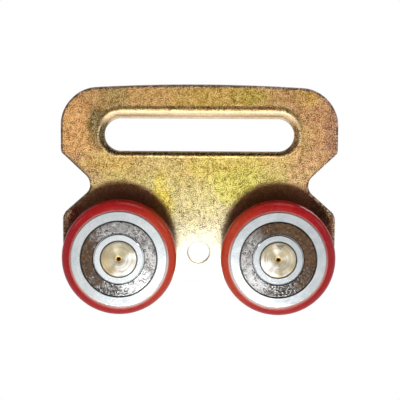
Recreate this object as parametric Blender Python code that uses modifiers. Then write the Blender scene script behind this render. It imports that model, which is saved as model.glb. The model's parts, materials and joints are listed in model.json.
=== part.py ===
"""Two-wheel strap trolley: a stamped hanger plate with a webbing slot, and two tyred ball bearings on riveted axles.

Metres, +Z up. X runs along the rail and the wheels are in front of the plate, at -Y. The origin is where the
webbing bears: the middle of the slot's upper edge, halfway through the plate.
"""

import math

import bmesh
import bpy

# --- hanger plate ---
PLATE_THICKNESS = 0.0030
UPPER_WIDTH = 0.0759  # across the sides beside the slot
EAR_WIDTH = 0.0749  # across the lower ears that carry the axles
NECK_WIDTH = 0.0566  # between the neck's two corners, before they are rounded
TOP_BAR = 0.0094  # slot's upper edge to the middle of the top edge
TOP_CROWN = 0.0008  # how far the top edge bows up between its rounded corners
SIDE_CORNER_DROP = 0.0001  # the side corner, below the slot's lower edge
NECK_DROP = 0.0091  # the neck's corner, below the side corner
EAR_DROP = 0.0082  # the ear's corner, below the neck's
AXLE_DROP = 0.0103  # the axles, below the ear's corner
BOTTOM_MARGIN = 0.0077  # the axles to the bottom edge
TOP_CORNER_RADIUS = 0.0102
SIDE_CORNER_RADIUS = 0.0016
NECK_RADIUS = 0.0036
EAR_CORNER_RADIUS = 0.0025
BOTTOM_CORNER_RADIUS = 0.0100
EDGE_ROUND = 0.0003
CENTRE_HOLE = 0.0060

# --- webbing slot, for 50 mm webbing ---
SLOT_LENGTH = 0.0520
SLOT_HEIGHT = 0.0090
LIP_UPPER = 0.0027  # rolled edge that the webbing bears on
LIP_LOWER = 0.0010
LIP_END = 0.0014

# --- axles ---
AXLE_SPACING = 0.0430
STANDOFF = 0.0042  # plate's front face to the bearing's rear face
COLLAR_WALL = 0.0015  # collar that the inner ring stands on, beyond the bore
SHANK = 0.0080  # through the plate
RIVET_HEAD = 0.0130
RIVET_HEAD_TOP = 0.0078  # flat on top of the head
RIVET_HEAD_HEIGHT = 0.0020
RIVET_HEAD_RIM = 0.0006  # its straight edge
RIVET_DIMPLE = 0.0026  # left by the spinning tool
AXLE_END_RECESS = 0.0001
AXLE_DISH = 0.0069  # hollow turned in the axle's end
AXLE_DISH_DEPTH = 0.0003
AXLE_CHAMFER = 0.0004
CENTRE_MARK = 0.0012  # lathe centre in the axle's end
CENTRE_MARK_DEPTH = 0.0007

# --- bearings ---
BEARING_OUTER = 0.0260
BEARING_BORE = 0.0100
BEARING_WIDTH = 0.0080
OUTER_RING_WALL = 0.00255  # radially, at the face
INNER_RING_WALL = 0.0017
RING_CHAMFER = 0.0004
BALL = 0.0047625
BALL_COUNT = 7
RACE_DEPTH = 0.0008  # how far the balls sink into each raceway
SHIELD_SHEET = 0.00025
SHIELD_RECESS = 0.0002  # the shield's face, behind the rings' faces
SHIELD_RIM = 0.00025  # how far the rim snaps into its groove
CAGE_SHEET = 0.0003
CAGE_WIDTH = 0.0020  # the ribbon, measured radially
CAGE_RIVET = 0.0006
CAGE_RIVET_HEAD = 0.0010
CAGE_RIVET_HEAD_TOP = 0.0007
CAGE_RIVET_HEAD_HEIGHT = 0.00025
CAGE_RIVET_OFFSET = 0.0003  # outside the ball circle, where the flats are longer

# --- tyres ---
TYRE_WALL = 0.0025
TYRE_SET_BACK = 0.0002  # the tyre's sides, behind the rings' faces
TYRE_SHOULDER_RADIUS = 0.0020

# --- clearances ---
SEAT_GAP = 0.0002  # between pieces that are pressed or clamped together
RUNNING_GAP = 0.0002  # a shield's bore round the inner ring
BALL_GAP = 0.00012  # a ball in its raceways and its pocket
CAGE_GAP = 0.0001  # between the cage's halves, its rivets and the shields' grooves

# --- fineness ---
WHEEL_STEPS = 40
HUB_STEPS = 32
SMALL_STEPS = 8
ARC_STEP = math.radians(15)
HEAD_ARC_STEPS = 3
POCKET_STEPS = 6
BALL_SEGMENTS = 10
BALL_RINGS = 8
LIP_SLICES = (0, 0.04, 0.14, 0.3, 0.55, 0.9, 1.5)  # depths of the slot's sections, in plate thicknesses

# --- places and radii that follow from the sizes ---
SLOT_BOTTOM = -SLOT_HEIGHT
SIDE_CORNER_Z = SLOT_BOTTOM - SIDE_CORNER_DROP
NECK_Z = SIDE_CORNER_Z - NECK_DROP
EAR_Z = NECK_Z - EAR_DROP
AXLE_Z = EAR_Z - AXLE_DROP
BOTTOM_Z = AXLE_Z - BOTTOM_MARGIN
BEARING_Y = -(PLATE_THICKNESS / 2 + STANDOFF + BEARING_WIDTH / 2)
AXLE_X = {"left": -AXLE_SPACING / 2, "right": AXLE_SPACING / 2}

FACE = BEARING_WIDTH / 2  # heights are along a bearing's axis, from its middle towards the front
MOUTH = BEARING_OUTER / 2 - OUTER_RING_WALL
INNER_FACE = BEARING_BORE / 2 + INNER_RING_WALL
BALL_CIRCLE = (MOUTH + INNER_FACE) / 2
RACE_RADIUS = BALL / 2 + BALL_GAP
RACE_EDGE = math.acos(1 - RACE_DEPTH / RACE_RADIUS)  # angles at the ball's centre
RACE_MIDDLE = RACE_EDGE / 5  # half of the facet at the raceway's bottom
SHIELD_TOP = FACE - SHIELD_RECESS
SHIELD_UNDER = SHIELD_TOP - SHIELD_SHEET
RIM_UNDER = SHIELD_UNDER - SHIELD_SHEET
BALL_PITCH = math.tau / BALL_COUNT


def collection(name):
    made = bpy.data.collections.new(name)
    bpy.context.scene.collection.children.link(made)
    return made


def material(name, colour, roughness, metallic):
    made = bpy.data.materials.new(name)
    made.use_nodes = True
    shader = made.node_tree.nodes["Principled BSDF"]
    shader.inputs["Base Color"].default_value = (*colour, 1.0)
    shader.inputs["Roughness"].default_value = roughness
    shader.inputs["Metallic"].default_value = metallic
    return made


for old in list(bpy.data.objects):
    bpy.data.objects.remove(old)
PARTS = collection("strap_trolley")
CUTTERS = collection("cutters")

YELLOW_ZINC = material("yellow_zinc_plate", (0.62, 0.50, 0.26), 0.38, 1.0)
PALE_ZINC = material("pale_zinc_stud", (0.72, 0.66, 0.50), 0.30, 1.0)
POLYURETHANE = material("red_polyurethane", (0.42, 0.012, 0.014), 0.28, 0.0)
RING_STEEL = material("ring_steel", (0.78, 0.81, 0.83), 0.24, 1.0)
SHIELD_STEEL = material("shield_steel", (0.46, 0.43, 0.40), 0.42, 1.0)
BALL_STEEL = material("ball_steel", (0.80, 0.80, 0.80), 0.08, 1.0)
CAGE_STEEL = material("cage_steel", (0.52, 0.52, 0.52), 0.35, 1.0)


def add_part(name, mesh, finish, parent=None):
    part = bpy.data.objects.new(name, mesh)
    mesh.materials.append(finish)
    part.parent = parent
    PARTS.objects.link(part)
    return part


def add_cutter(name, mesh):
    cutter = bpy.data.objects.new(name, mesh)
    cutter.hide_render = True
    cutter.display_type = "WIRE"
    CUTTERS.objects.link(cutter)
    return cutter


def cut(part, cutter):
    boolean = part.modifiers.new(cutter.name, "BOOLEAN")
    boolean.operation = "DIFFERENCE"
    boolean.solver = "EXACT"
    boolean.object = cutter


def mesh_of(name, bm):
    mesh = bpy.data.meshes.new(name)
    bm.to_mesh(mesh)
    bm.free()
    return mesh


def arc(centre, radius, start, end, steps):
    """Points of an arc in a plane, both ends included."""
    angles = [start + (end - start) * step / steps for step in range(steps + 1)]
    return [(centre[0] + radius * math.cos(a), centre[1] + radius * math.sin(a)) for a in angles]


def turn(name, profile, steps, finish, parent, closed=True):
    """A profile of (radius, height) points turned about its axis. It runs down its outer side."""
    mesh = bpy.data.meshes.new(name)
    edges = [(index, index + 1) for index in range(len(profile) - 1)]
    if closed:
        edges.append((len(profile) - 1, 0))
    mesh.from_pydata([(radius, 0, height) for radius, height in profile], edges, [])
    part = add_part(name, mesh, finish, parent)
    screw = part.modifiers.new("turning", "SCREW")
    screw.axis = "Z"
    screw.angle = math.tau
    screw.steps = steps
    screw.render_steps = steps
    screw.use_merge_vertices = True
    screw.merge_threshold = 0.000001
    screw.use_smooth_shade = True
    return part


def mirrored(half):
    """The half of a ring's profile above its middle, up the bore and down the outside, made whole."""
    return half + [(radius, -height) for radius, height in reversed(half)]


# --- hanger plate: one stamping with its edges broken, then the slot and the holes ---
def rounded(corners):
    """The outline through (x, z, radius) corners, each rounded to its radius."""
    outline = []
    for index, (x, z, radius) in enumerate(corners):
        before = corners[index - 1]
        after = corners[(index + 1) % len(corners)]
        arriving = math.atan2(z - before[1], x - before[0])
        leaving = math.atan2(after[1] - z, after[0] - x)
        bend = math.remainder(leaving - arriving, math.tau)
        reach = radius * math.tan(abs(bend) / 2)
        inward = arriving + math.copysign(math.pi / 2, bend)
        centre = (
            x - reach * math.cos(arriving) + radius * math.cos(inward),
            z - reach * math.sin(arriving) + radius * math.sin(inward),
        )
        steps = max(4, math.ceil(abs(bend) / ARC_STEP))
        outline += arc(centre, radius, inward - math.pi, inward - math.pi + bend, steps)
    return outline


def plate_outline():
    """From the crown of the top edge, down the right side and up the left."""
    upper_x = UPPER_WIDTH / 2
    half_crown = upper_x - TOP_CORNER_RADIUS
    crown_radius = (half_crown**2 + TOP_CROWN**2) / (2 * TOP_CROWN)
    slope = math.atan(half_crown / crown_radius)
    peak = TOP_BAR + crown_radius * (1 / math.cos(slope) - 1)
    right = [
        (upper_x, peak - upper_x * math.tan(slope), TOP_CORNER_RADIUS),
        (upper_x, SIDE_CORNER_Z, SIDE_CORNER_RADIUS),
        (NECK_WIDTH / 2, NECK_Z, NECK_RADIUS),
        (EAR_WIDTH / 2, EAR_Z, EAR_CORNER_RADIUS),
        (EAR_WIDTH / 2, BOTTOM_Z, BOTTOM_CORNER_RADIUS),
    ]
    left = [(-x, z, radius) for x, z, radius in reversed(right)]
    return rounded([(0, peak, crown_radius)] + right + left)


def plate_blank():
    """The outline drawn flat and thickened, as a mesh."""
    curve = bpy.data.curves.new("plate_outline", "CURVE")
    curve.dimensions = "2D"
    curve.fill_mode = "BOTH"
    curve.extrude = PLATE_THICKNESS / 2
    outline = plate_outline()
    spline = curve.splines.new("POLY")
    spline.points.add(len(outline) - 1)
    for point, (x, z) in zip(spline.points, outline):
        point.co = (x, z, 0, 1)
    spline.use_cyclic_u = True
    drawing = bpy.data.objects.new("plate_outline", curve)
    CUTTERS.objects.link(drawing)
    evaluated = drawing.evaluated_get(bpy.context.evaluated_depsgraph_get())
    mesh = bpy.data.meshes.new_from_object(evaluated)
    bpy.data.objects.remove(drawing)
    bm = bmesh.new()
    bm.from_mesh(mesh)
    bmesh.ops.remove_doubles(bm, verts=bm.verts, dist=0.000001)
    bm.to_mesh(mesh)
    bm.free()
    return mesh


def slot_loop(bm, y, upper, lower, end):
    """The slot's outline at a depth, grown by its three lips, as a loop of edges."""
    top = upper
    bottom = SLOT_BOTTOM - lower
    radius = (top - bottom) / 2
    reach = SLOT_LENGTH / 2 + end - radius
    steps = math.ceil(math.pi / ARC_STEP)
    right = arc((reach, top - radius), radius, -math.pi / 2, math.pi / 2, steps)
    left = arc((-reach, top - radius), radius, math.pi / 2, 3 * math.pi / 2, steps)
    verts = [bm.verts.new((x, y, z)) for x, z in right + left]
    return [bm.edges.new((verts[index - 1], verts[index])) for index in range(len(verts))]


def lip(radius, depth):
    """How far a quarter-round lip has opened, at a depth behind the plate's front face."""
    radius = min(radius, PLATE_THICKNESS - EDGE_ROUND)
    if depth >= radius:
        return 0.0
    return radius - math.sqrt(radius**2 - (radius - depth) ** 2)


def slot_cutter():
    """Loops from in front of the plate to behind it. The first carries the lips' slope on past the face."""
    depths = [PLATE_THICKNESS * share for share in LIP_SLICES]
    grown = [[lip(radius, depth) for radius in (LIP_UPPER, LIP_LOWER, LIP_END)] for depth in depths]
    depths.insert(0, -depths[1])
    grown.insert(0, [2 * at_face - inside for at_face, inside in zip(grown[0], grown[1])])
    bm = bmesh.new()
    front = -PLATE_THICKNESS / 2
    loops = [slot_loop(bm, front + depth, *growth) for depth, growth in zip(depths, grown)]
    for nearer, further in zip(loops, loops[1:]):
        bmesh.ops.bridge_loops(bm, edges=nearer + further)
    bmesh.ops.contextual_create(bm, geom=loops[0])
    bmesh.ops.contextual_create(bm, geom=loops[-1])
    bmesh.ops.recalc_face_normals(bm, faces=bm.faces)
    return add_cutter("slot_cutter", mesh_of("slot_cutter", bm))


def hole_cutter(name, x, diameter):
    bm = bmesh.new()
    bmesh.ops.create_cone(
        bm,
        cap_ends=True,
        segments=HUB_STEPS,
        radius1=diameter / 2,
        radius2=diameter / 2,
        depth=PLATE_THICKNESS * 3,
    )
    cutter = add_cutter(name, mesh_of(name, bm))
    cutter.location = (x, 0, AXLE_Z)
    cutter.rotation_euler = (math.pi / 2, 0, 0)
    return cutter


def make_plate():
    plate = add_part("hanger_plate", plate_blank(), YELLOW_ZINC)
    plate.rotation_euler = (math.pi / 2, 0, 0)  # the drawing's Y becomes Z
    broken = plate.modifiers.new("broken_edges", "BEVEL")
    broken.width = EDGE_ROUND
    broken.segments = 2
    broken.limit_method = "ANGLE"
    broken.angle_limit = math.radians(60)
    cut(plate, slot_cutter())
    cut(plate, hole_cutter("centre_hole_cutter", 0, CENTRE_HOLE))
    for side, x in AXLE_X.items():
        cut(plate, hole_cutter(f"shank_hole_cutter_{side}", x, SHANK + 2 * SEAT_GAP))


# --- axle: a turned stud, its rear end spun over into a rivet head behind the plate ---
def axle_profile():
    journal = BEARING_BORE / 2 - SEAT_GAP
    collar = BEARING_BORE / 2 + COLLAR_WALL
    end = FACE - AXLE_END_RECESS
    collar_front = -FACE - SEAT_GAP
    collar_rear = -FACE - STANDOFF + SEAT_GAP
    head_front = -FACE - STANDOFF - PLATE_THICKNESS - SEAT_GAP
    head_rear = head_front - RIVET_HEAD_HEIGHT
    shoulder = (RIVET_HEAD - RIVET_HEAD_TOP) / 2
    crown = RIVET_HEAD_HEIGHT - RIVET_HEAD_RIM
    head = [
        (RIVET_HEAD_TOP / 2 + shoulder * across, head_rear + crown * (1 - down))
        for across, down in arc((0, 0), 1, 0, math.pi / 2, HEAD_ARC_STEPS)
    ]
    stud = [
        (0, end - CENTRE_MARK_DEPTH),
        (CENTRE_MARK / 2, end - AXLE_DISH_DEPTH),
        (AXLE_DISH / 2, end),
        (journal - AXLE_CHAMFER, end),
        (journal, end - AXLE_CHAMFER),
        (journal, collar_front),
        (collar, collar_front),
        (collar, collar_rear),
        (SHANK / 2, collar_rear),
        (SHANK / 2, head_front),
        (RIVET_HEAD / 2, head_front),
    ]
    return stud + head + [(RIVET_DIMPLE / 2, head_rear), (0, head_rear + AXLE_DISH_DEPTH)]


# --- bearing rings: hardened steel, each with a raceway ---
def outer_ring_profile():
    outside = BEARING_OUTER / 2
    land = BALL_CIRCLE + RACE_RADIUS - RACE_DEPTH
    groove = MOUTH + SHIELD_RIM + CAGE_GAP
    race = arc((BALL_CIRCLE, 0), RACE_RADIUS, RACE_MIDDLE, RACE_EDGE, 2)
    return mirrored(
        race
        + [
            (land, RIM_UNDER - CAGE_GAP),
            (groove, RIM_UNDER - CAGE_GAP),
            (groove, SHIELD_UNDER + CAGE_GAP),
            (MOUTH, SHIELD_UNDER + CAGE_GAP),
            (MOUTH, FACE),
            (outside - RING_CHAMFER, FACE),
            (outside, FACE - RING_CHAMFER),
        ]
    )


def inner_ring_profile():
    bore = BEARING_BORE / 2
    land = BALL_CIRCLE - RACE_RADIUS + RACE_DEPTH
    race = arc((BALL_CIRCLE, 0), RACE_RADIUS, math.pi - RACE_EDGE, math.pi - RACE_MIDDLE, 2)
    return mirrored(
        [
            (bore, FACE - RING_CHAMFER),
            (bore + RING_CHAMFER, FACE),
            (INNER_FACE, FACE),
            (INNER_FACE, RIM_UNDER),
            (land, RIM_UNDER),
        ]
        + race
    )


# --- shield: a pressed sheet disc, its rim snapped into the outer ring ---
def shield_profile():
    rim = MOUTH + SHIELD_RIM
    disc = MOUTH - SEAT_GAP
    joggle = disc - 2 * SHIELD_SHEET
    bore = INNER_FACE + RUNNING_GAP
    return [
        (disc, SHIELD_TOP),
        (disc, SHIELD_UNDER),
        (rim, SHIELD_UNDER),
        (rim, RIM_UNDER),
        (joggle, RIM_UNDER),
        (joggle, SHIELD_UNDER),
        (bore, SHIELD_UNDER),
        (bore, SHIELD_TOP),
    ]


# --- tyre: polyurethane moulded round the outer ring ---
def tyre_profile():
    bore = BEARING_OUTER / 2 + SEAT_GAP
    outside = BEARING_OUTER / 2 + TYRE_WALL
    side = FACE - TYRE_SET_BACK
    centre = (outside - TYRE_SHOULDER_RADIUS, side - TYRE_SHOULDER_RADIUS)
    return mirrored([(bore, side)] + arc(centre, TYRE_SHOULDER_RADIUS, math.pi / 2, 0, 4))


# --- cage: two pressed ribbons that fold round the balls, riveted together between them ---
def cage_ribbon_mesh():
    """The middle of one ribbon's sheet, as a strip round the ball circle."""
    fold = RACE_RADIUS + CAGE_SHEET / 2
    flat = (CAGE_GAP + CAGE_SHEET) / 2
    lift = math.asin(flat / fold)
    bm = bmesh.new()
    edges = []
    for radius in (BALL_CIRCLE - CAGE_WIDTH / 2, BALL_CIRCLE + CAGE_WIDTH / 2):
        verts = []
        for pocket in range(BALL_COUNT):
            ball_angle = pocket * BALL_PITCH
            for sideways, height in arc((0, 0), fold, math.pi - lift, lift, POCKET_STEPS):
                angle = ball_angle + math.asin(sideways / radius)
                verts.append(bm.verts.new((radius * math.cos(angle), radius * math.sin(angle), height)))
            angle = ball_angle + BALL_PITCH / 2
            verts.append(bm.verts.new((radius * math.cos(angle), radius * math.sin(angle), flat)))
        edges += [bm.edges.new((verts[index - 1], verts[index])) for index in range(len(verts))]
    bmesh.ops.bridge_loops(bm, edges=edges)
    bmesh.ops.recalc_face_normals(bm, faces=bm.faces)
    return mesh_of("cage_ribbon", bm)


def rivet_places():
    """Where a cage's rivets stand, as (x, y) from the bearing's axis."""
    circle = BALL_CIRCLE + CAGE_RIVET_OFFSET
    angles = [(index + 0.5) * BALL_PITCH for index in range(BALL_COUNT)]
    return [(circle * math.cos(angle), circle * math.sin(angle)) for angle in angles]


def rivet_hole_cutter(parent, name):
    bm = bmesh.new()
    for x, y in rivet_places():
        hole = bmesh.ops.create_cone(
            bm,
            cap_ends=True,
            segments=SMALL_STEPS,
            radius1=CAGE_RIVET / 2 + CAGE_GAP,
            radius2=CAGE_RIVET / 2 + CAGE_GAP,
            depth=RACE_RADIUS,
        )
        bmesh.ops.translate(bm, verts=hole["verts"], vec=(x, y, 0))
    cutter = add_cutter(name, mesh_of(name, bm))
    cutter.parent = parent
    return cutter


def cage_rivet_profile():
    head_under = CAGE_GAP / 2 + CAGE_SHEET + CAGE_GAP
    head_top = head_under + CAGE_RIVET_HEAD_HEIGHT
    half = [
        (0, head_top),
        (CAGE_RIVET_HEAD_TOP / 2, head_top),
        (CAGE_RIVET_HEAD / 2, head_under + CAGE_RIVET_HEAD_HEIGHT / 2),
        (CAGE_RIVET_HEAD / 2, head_under),
        (CAGE_RIVET / 2, head_under),
    ]
    return mirrored(half)


def make_cage(side, parent):
    holes = rivet_hole_cutter(parent, f"cage_rivet_holes_{side}")
    for name, flip in (("front", 0.0), ("rear", math.pi)):
        ribbon = add_part(f"cage_{name}_{side}", cage_ribbon_mesh(), CAGE_STEEL, parent)
        ribbon.rotation_euler = (flip, 0, 0)
        sheet = ribbon.modifiers.new("sheet", "SOLIDIFY")
        sheet.thickness = CAGE_SHEET
        sheet.offset = 0
        sheet.use_even_offset = True
        cut(ribbon, holes)
    for index, (x, y) in enumerate(rivet_places(), 1):
        rivet = turn(f"cage_rivet_{side}_{index}", cage_rivet_profile(), SMALL_STEPS, CAGE_STEEL, parent, False)
        rivet.location = (x, y, 0)


def make_balls(side, parent):
    bm = bmesh.new()
    bmesh.ops.create_uvsphere(bm, u_segments=BALL_SEGMENTS, v_segments=BALL_RINGS, radius=BALL / 2)
    mesh = mesh_of("ball", bm)
    mesh.shade_smooth()
    mesh.materials.append(BALL_STEEL)
    for index in range(BALL_COUNT):
        ball = bpy.data.objects.new(f"ball_{side}_{index + 1}", mesh)
        ball.parent = parent
        angle = index * BALL_PITCH
        ball.location = (BALL_CIRCLE * math.cos(angle), BALL_CIRCLE * math.sin(angle), 0)
        PARTS.objects.link(ball)


def make_wheel(side, x):
    """One axle with its bearing and tyre, on an empty at the bearing's middle whose Z points to the front."""
    centre = bpy.data.objects.new(f"wheel_axis_{side}", None)
    centre.location = (x, BEARING_Y, AXLE_Z)
    centre.rotation_euler = (math.pi / 2, 0, 0)
    PARTS.objects.link(centre)
    turn(f"axle_{side}", axle_profile(), HUB_STEPS, PALE_ZINC, centre, False)
    turn(f"inner_ring_{side}", inner_ring_profile(), HUB_STEPS, RING_STEEL, centre)
    turn(f"outer_ring_{side}", outer_ring_profile(), WHEEL_STEPS, RING_STEEL, centre)
    turn(f"tyre_{side}", tyre_profile(), WHEEL_STEPS, POLYURETHANE, centre)
    turn(f"shield_front_{side}", shield_profile(), WHEEL_STEPS, SHIELD_STEEL, centre)
    rear = turn(f"shield_rear_{side}", shield_profile(), WHEEL_STEPS, SHIELD_STEEL, centre)
    rear.rotation_euler = (math.pi, 0, 0)
    make_balls(side, centre)
    make_cage(side, centre)


make_plate()
for side, x in AXLE_X.items():
    make_wheel(side, x)
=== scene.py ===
"""A two-wheel strap trolley in a small white studio: a stamped hanger plate, and two ball bearings with
red tyres on riveted studs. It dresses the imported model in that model's own frame: metres, +Z up, and the
wheels towards -Y."""

import json
import math

import bmesh
import bpy
from mathutils import Matrix, Vector


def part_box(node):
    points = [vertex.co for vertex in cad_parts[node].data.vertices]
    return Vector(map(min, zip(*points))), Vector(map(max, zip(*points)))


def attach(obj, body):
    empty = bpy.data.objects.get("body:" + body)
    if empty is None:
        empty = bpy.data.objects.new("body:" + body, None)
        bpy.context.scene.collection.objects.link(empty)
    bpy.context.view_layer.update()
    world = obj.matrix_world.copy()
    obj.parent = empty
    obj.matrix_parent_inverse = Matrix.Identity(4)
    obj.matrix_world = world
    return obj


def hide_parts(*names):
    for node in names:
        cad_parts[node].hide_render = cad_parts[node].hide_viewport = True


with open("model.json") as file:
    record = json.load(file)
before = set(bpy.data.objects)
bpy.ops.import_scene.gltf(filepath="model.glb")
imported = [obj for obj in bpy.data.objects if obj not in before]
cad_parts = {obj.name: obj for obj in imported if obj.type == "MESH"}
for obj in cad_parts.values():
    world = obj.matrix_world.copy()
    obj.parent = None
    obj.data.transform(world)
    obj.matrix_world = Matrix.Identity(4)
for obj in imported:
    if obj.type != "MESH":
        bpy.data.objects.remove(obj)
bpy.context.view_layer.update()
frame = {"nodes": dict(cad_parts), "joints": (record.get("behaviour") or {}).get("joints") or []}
wheel_centre = {
    side: Vector(joint["pos_m"])
    for joint in frame["joints"]
    for side in ("left", "right")
    if joint["name"] == f"wheel_{side}_spin"
}

# --- Hanger plate ---
# One stamping of 3 mm sheet steel, zinc plated and passivated yellow. The slot is pierced for the webbing,
# and its front edge is rolled over, most of all along the top, where the webbing bears. A small hole lies
# between the axles.

plate_low, plate_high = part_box("hanger_plate")
plate_front = plate_low.y
plate_back = plate_high.y
axle_height = wheel_centre["left"].z
side_corner_height = -0.0091
side_corner_radius = 0.0016
neck = Vector((0.0283, 0, -0.0182))
neck_radius = 0.0036
ear = Vector((plate_high.x - 0.0005, 0, -0.0264))
ear_radius = 0.0025
foot_corner_radius = 0.0100
top_corner_radius = 0.0102
top_crown = 0.0008
broken_edge = 0.0003
edge_land = 0.00025  # the strip of face that follows a broken edge
slot_radius = 0.0045
slot_reach = 0.0215  # from the slot's middle to the centre of each round end
slot_middle = Vector((0, plate_back, -slot_radius))
centre_hole_radius = 0.0030
shank_hole_radius = 0.00405

# each edge of the slot: its rolled lip's radius, and the width and height of the bead outside it
edge_above = (0.0027, 0.0012, 0.00008)
edge_beside = (0.0014, 0.0012, 0.00006)
edge_below = (0.0010, 0.0006, 0.00005)


def finish_mesh(name, bm, material, body, replaced):
    """The finished piece: smooth but for its sharp edges, riding on its body in place of its plain nodes."""
    mesh = bpy.data.meshes.new(name)
    bm.to_mesh(mesh)
    bm.free()
    mesh.shade_smooth()
    mesh.set_sharp_from_angle(angle=math.radians(32))
    mesh.materials.append(material)
    piece = bpy.data.objects.new(name, mesh)
    bpy.context.scene.collection.objects.link(piece)
    flats = piece.modifiers.new("flat_faces_stay_flat", "WEIGHTED_NORMAL")
    flats.weight = 100
    flats.keep_sharp = True
    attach(piece, body)
    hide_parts(*replaced)


def round_corner(bm, corner, radius):
    """Rounds one corner of a flat outline."""
    ways = [edge.other_vert(corner).co - corner.co for edge in corner.link_edges]
    bend = math.pi - ways[0].angle(ways[1])
    bmesh.ops.bevel(
        bm,
        geom=[corner],
        offset=radius * math.tan(bend / 2),
        offset_type="OFFSET",
        segments=max(4, math.ceil(bend / math.radians(4))),
        profile=0.5,
        affect="VERTICES",
        material=-1,
    )


def break_edges(bm, edges, width, segments):
    """Rounds off sharp edges."""
    bmesh.ops.bevel(
        bm,
        geom=edges,
        offset=width,
        offset_type="OFFSET",
        segments=segments,
        profile=0.5,
        affect="EDGES",
        material=-1,
    )


def draw_on(bm, edges):
    """Extrudes open edges. Returns the new edges and their points."""
    drawn = bmesh.ops.extrude_edge_only(bm, edges=edges)["geom"]
    verts = [part for part in drawn if isinstance(part, bmesh.types.BMVert)]
    return [part for part in drawn if isinstance(part, bmesh.types.BMEdge)], verts


def pierce(bm, middle, radius, reach, edge_towards):
    """A round-ended opening's wall, from the plate's back forward over its edge and bead.
    Returns the edges of its back and front rims."""

    def spoke(vert):
        """The nearest point of the opening's middle line, and the way from it to a point of the wall."""
        along = max(-reach, min(reach, vert.co.x - middle.x))
        core = Vector((middle.x + along, 0, middle.z))
        return core, (Vector((vert.co.x, 0, vert.co.z)) - core).normalized()

    upright = Matrix.Translation(middle) @ Matrix.Rotation(math.pi / 2, 4, "X")
    circle = bmesh.ops.create_circle(
        bm, cap_ends=False, segments=72, radius=radius + broken_edge, matrix=upright
    )
    ring = circle["verts"]
    for vert in ring:
        if abs(vert.co.x - middle.x) > radius * 0.01:
            vert.co.x += math.copysign(reach, vert.co.x - middle.x)
    back_rim = edges = list({edge for vert in ring for edge in vert.link_edges})
    for bend in (math.pi / 6, math.pi / 3, math.pi / 2):
        edges, verts = draw_on(bm, edges)
        for vert in verts:
            core, outward = spoke(vert)
            vert.co = core + outward * (radius + broken_edge * (1 - math.sin(bend)))
            vert.co.y = plate_back - broken_edge * (1 - math.cos(bend))
    over_edge = [(math.pi / 2 * step / 8, 0) for step in range(9)]
    down_bead = [(math.pi / 2, step / 6) for step in range(1, 7)]
    for bend, share in over_edge + down_bead:
        edges, verts = draw_on(bm, edges)
        for vert in verts:
            core, outward = spoke(vert)
            lip, bead_width, bead_height = edge_towards(outward)
            vert.co = core + outward * (radius + lip * (1 - math.cos(bend)) + bead_width * share)
            rise = bead_height * (1 + math.cos(math.pi * share)) / 2
            vert.co.y = plate_front - rise + lip * (1 - math.sin(bend))
    return back_rim, edges


def rolled_edge(outward):
    """The slot's edge towards a direction: its lip's radius, and its bead's width and height."""
    if outward.z > 0:
        share = outward.z**1.5
        return [beside + (above - beside) * share for above, beside in zip(edge_above, edge_beside)]
    return [beside + (below - beside) * -outward.z for below, beside in zip(edge_below, edge_beside)]


def plain_edge(outward):
    return broken_edge, broken_edge, 0.0


def model_plate():
    """The blank is outlined, thickened and its edges broken, then its faces are laid round the openings."""
    bm = bmesh.new()
    sheared = bm.faces.layers.float.new("sheared")
    width = plate_high.x
    half_crown = width - top_corner_radius
    crown_radius = (half_crown**2 + top_crown**2) / (2 * top_crown)
    slope = math.asin(half_crown / crown_radius)
    crown_angles = [slope * step / 16 for step in range(-16, 17)]
    crown = [
        (crown_radius * math.sin(angle), plate_high.z - crown_radius * (1 - math.cos(angle)), 0)
        for angle in crown_angles
    ]
    right = [
        (width, crown[-1][1] - top_corner_radius * math.tan(slope), top_corner_radius),
        (width, side_corner_height, side_corner_radius),
        (neck.x, neck.z, neck_radius),
        (ear.x, ear.z, ear_radius),
        (ear.x, plate_low.z, foot_corner_radius),
    ]
    left = [(-x, z, radius) for x, z, radius in reversed(right)]
    corners = crown + right + left
    verts = [bm.verts.new((x, plate_front, z)) for x, z, _ in corners]
    bm.faces.new(verts)
    for vert, (_, _, radius) in zip(verts, corners):
        if radius:
            round_corner(bm, vert, radius)
    thickened = bmesh.ops.extrude_face_region(bm, geom=[face for face in bm.faces])["geom"]
    moved = [part for part in thickened if isinstance(part, bmesh.types.BMVert)]
    bmesh.ops.translate(bm, verts=moved, vec=(0, plate_back - plate_front, 0))
    bmesh.ops.recalc_face_normals(bm, faces=bm.faces)
    rims = [edge for edge in bm.edges if edge.verts[0].co.y == edge.verts[1].co.y]
    break_edges(bm, rims, broken_edge, 4)
    faces = sorted(bm.faces, key=lambda face: len(face.verts))[-2:]
    faces.sort(key=lambda face: face.calc_center_median().y)
    bmesh.ops.inset_region(bm, faces=faces, thickness=edge_land, use_even_offset=True)
    outer_rims = [list(face.edges) for face in faces]
    bmesh.ops.delete(bm, geom=faces, context="FACES_ONLY")
    for face in bm.faces:
        face[sheared] = 1.0
    openings = [
        pierce(bm, slot_middle, slot_radius, slot_reach, rolled_edge),
        pierce(bm, Vector((0, plate_back, axle_height)), centre_hole_radius, 0, plain_edge),
    ]
    for centre in wheel_centre.values():
        shank_hole = Vector((centre.x, plate_back, axle_height))
        openings.append(pierce(bm, shank_hole, shank_hole_radius, 0, plain_edge))
    fronts = outer_rims[0] + [edge for _, front_rim in openings for edge in front_rim]
    backs = outer_rims[1] + [edge for back_rim, _ in openings for edge in back_rim]
    bmesh.ops.triangle_fill(bm, use_beauty=True, edges=fronts, normal=(0, -1, 0))
    bmesh.ops.triangle_fill(bm, use_beauty=True, edges=backs, normal=(0, 1, 0))
    bmesh.ops.recalc_face_normals(bm, faces=bm.faces)
    return bm


def start_material(name):
    material = bpy.data.materials.new(name)
    material.use_nodes = True
    tree = material.node_tree
    return material, tree, tree.nodes["Principled BSDF"]


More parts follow.
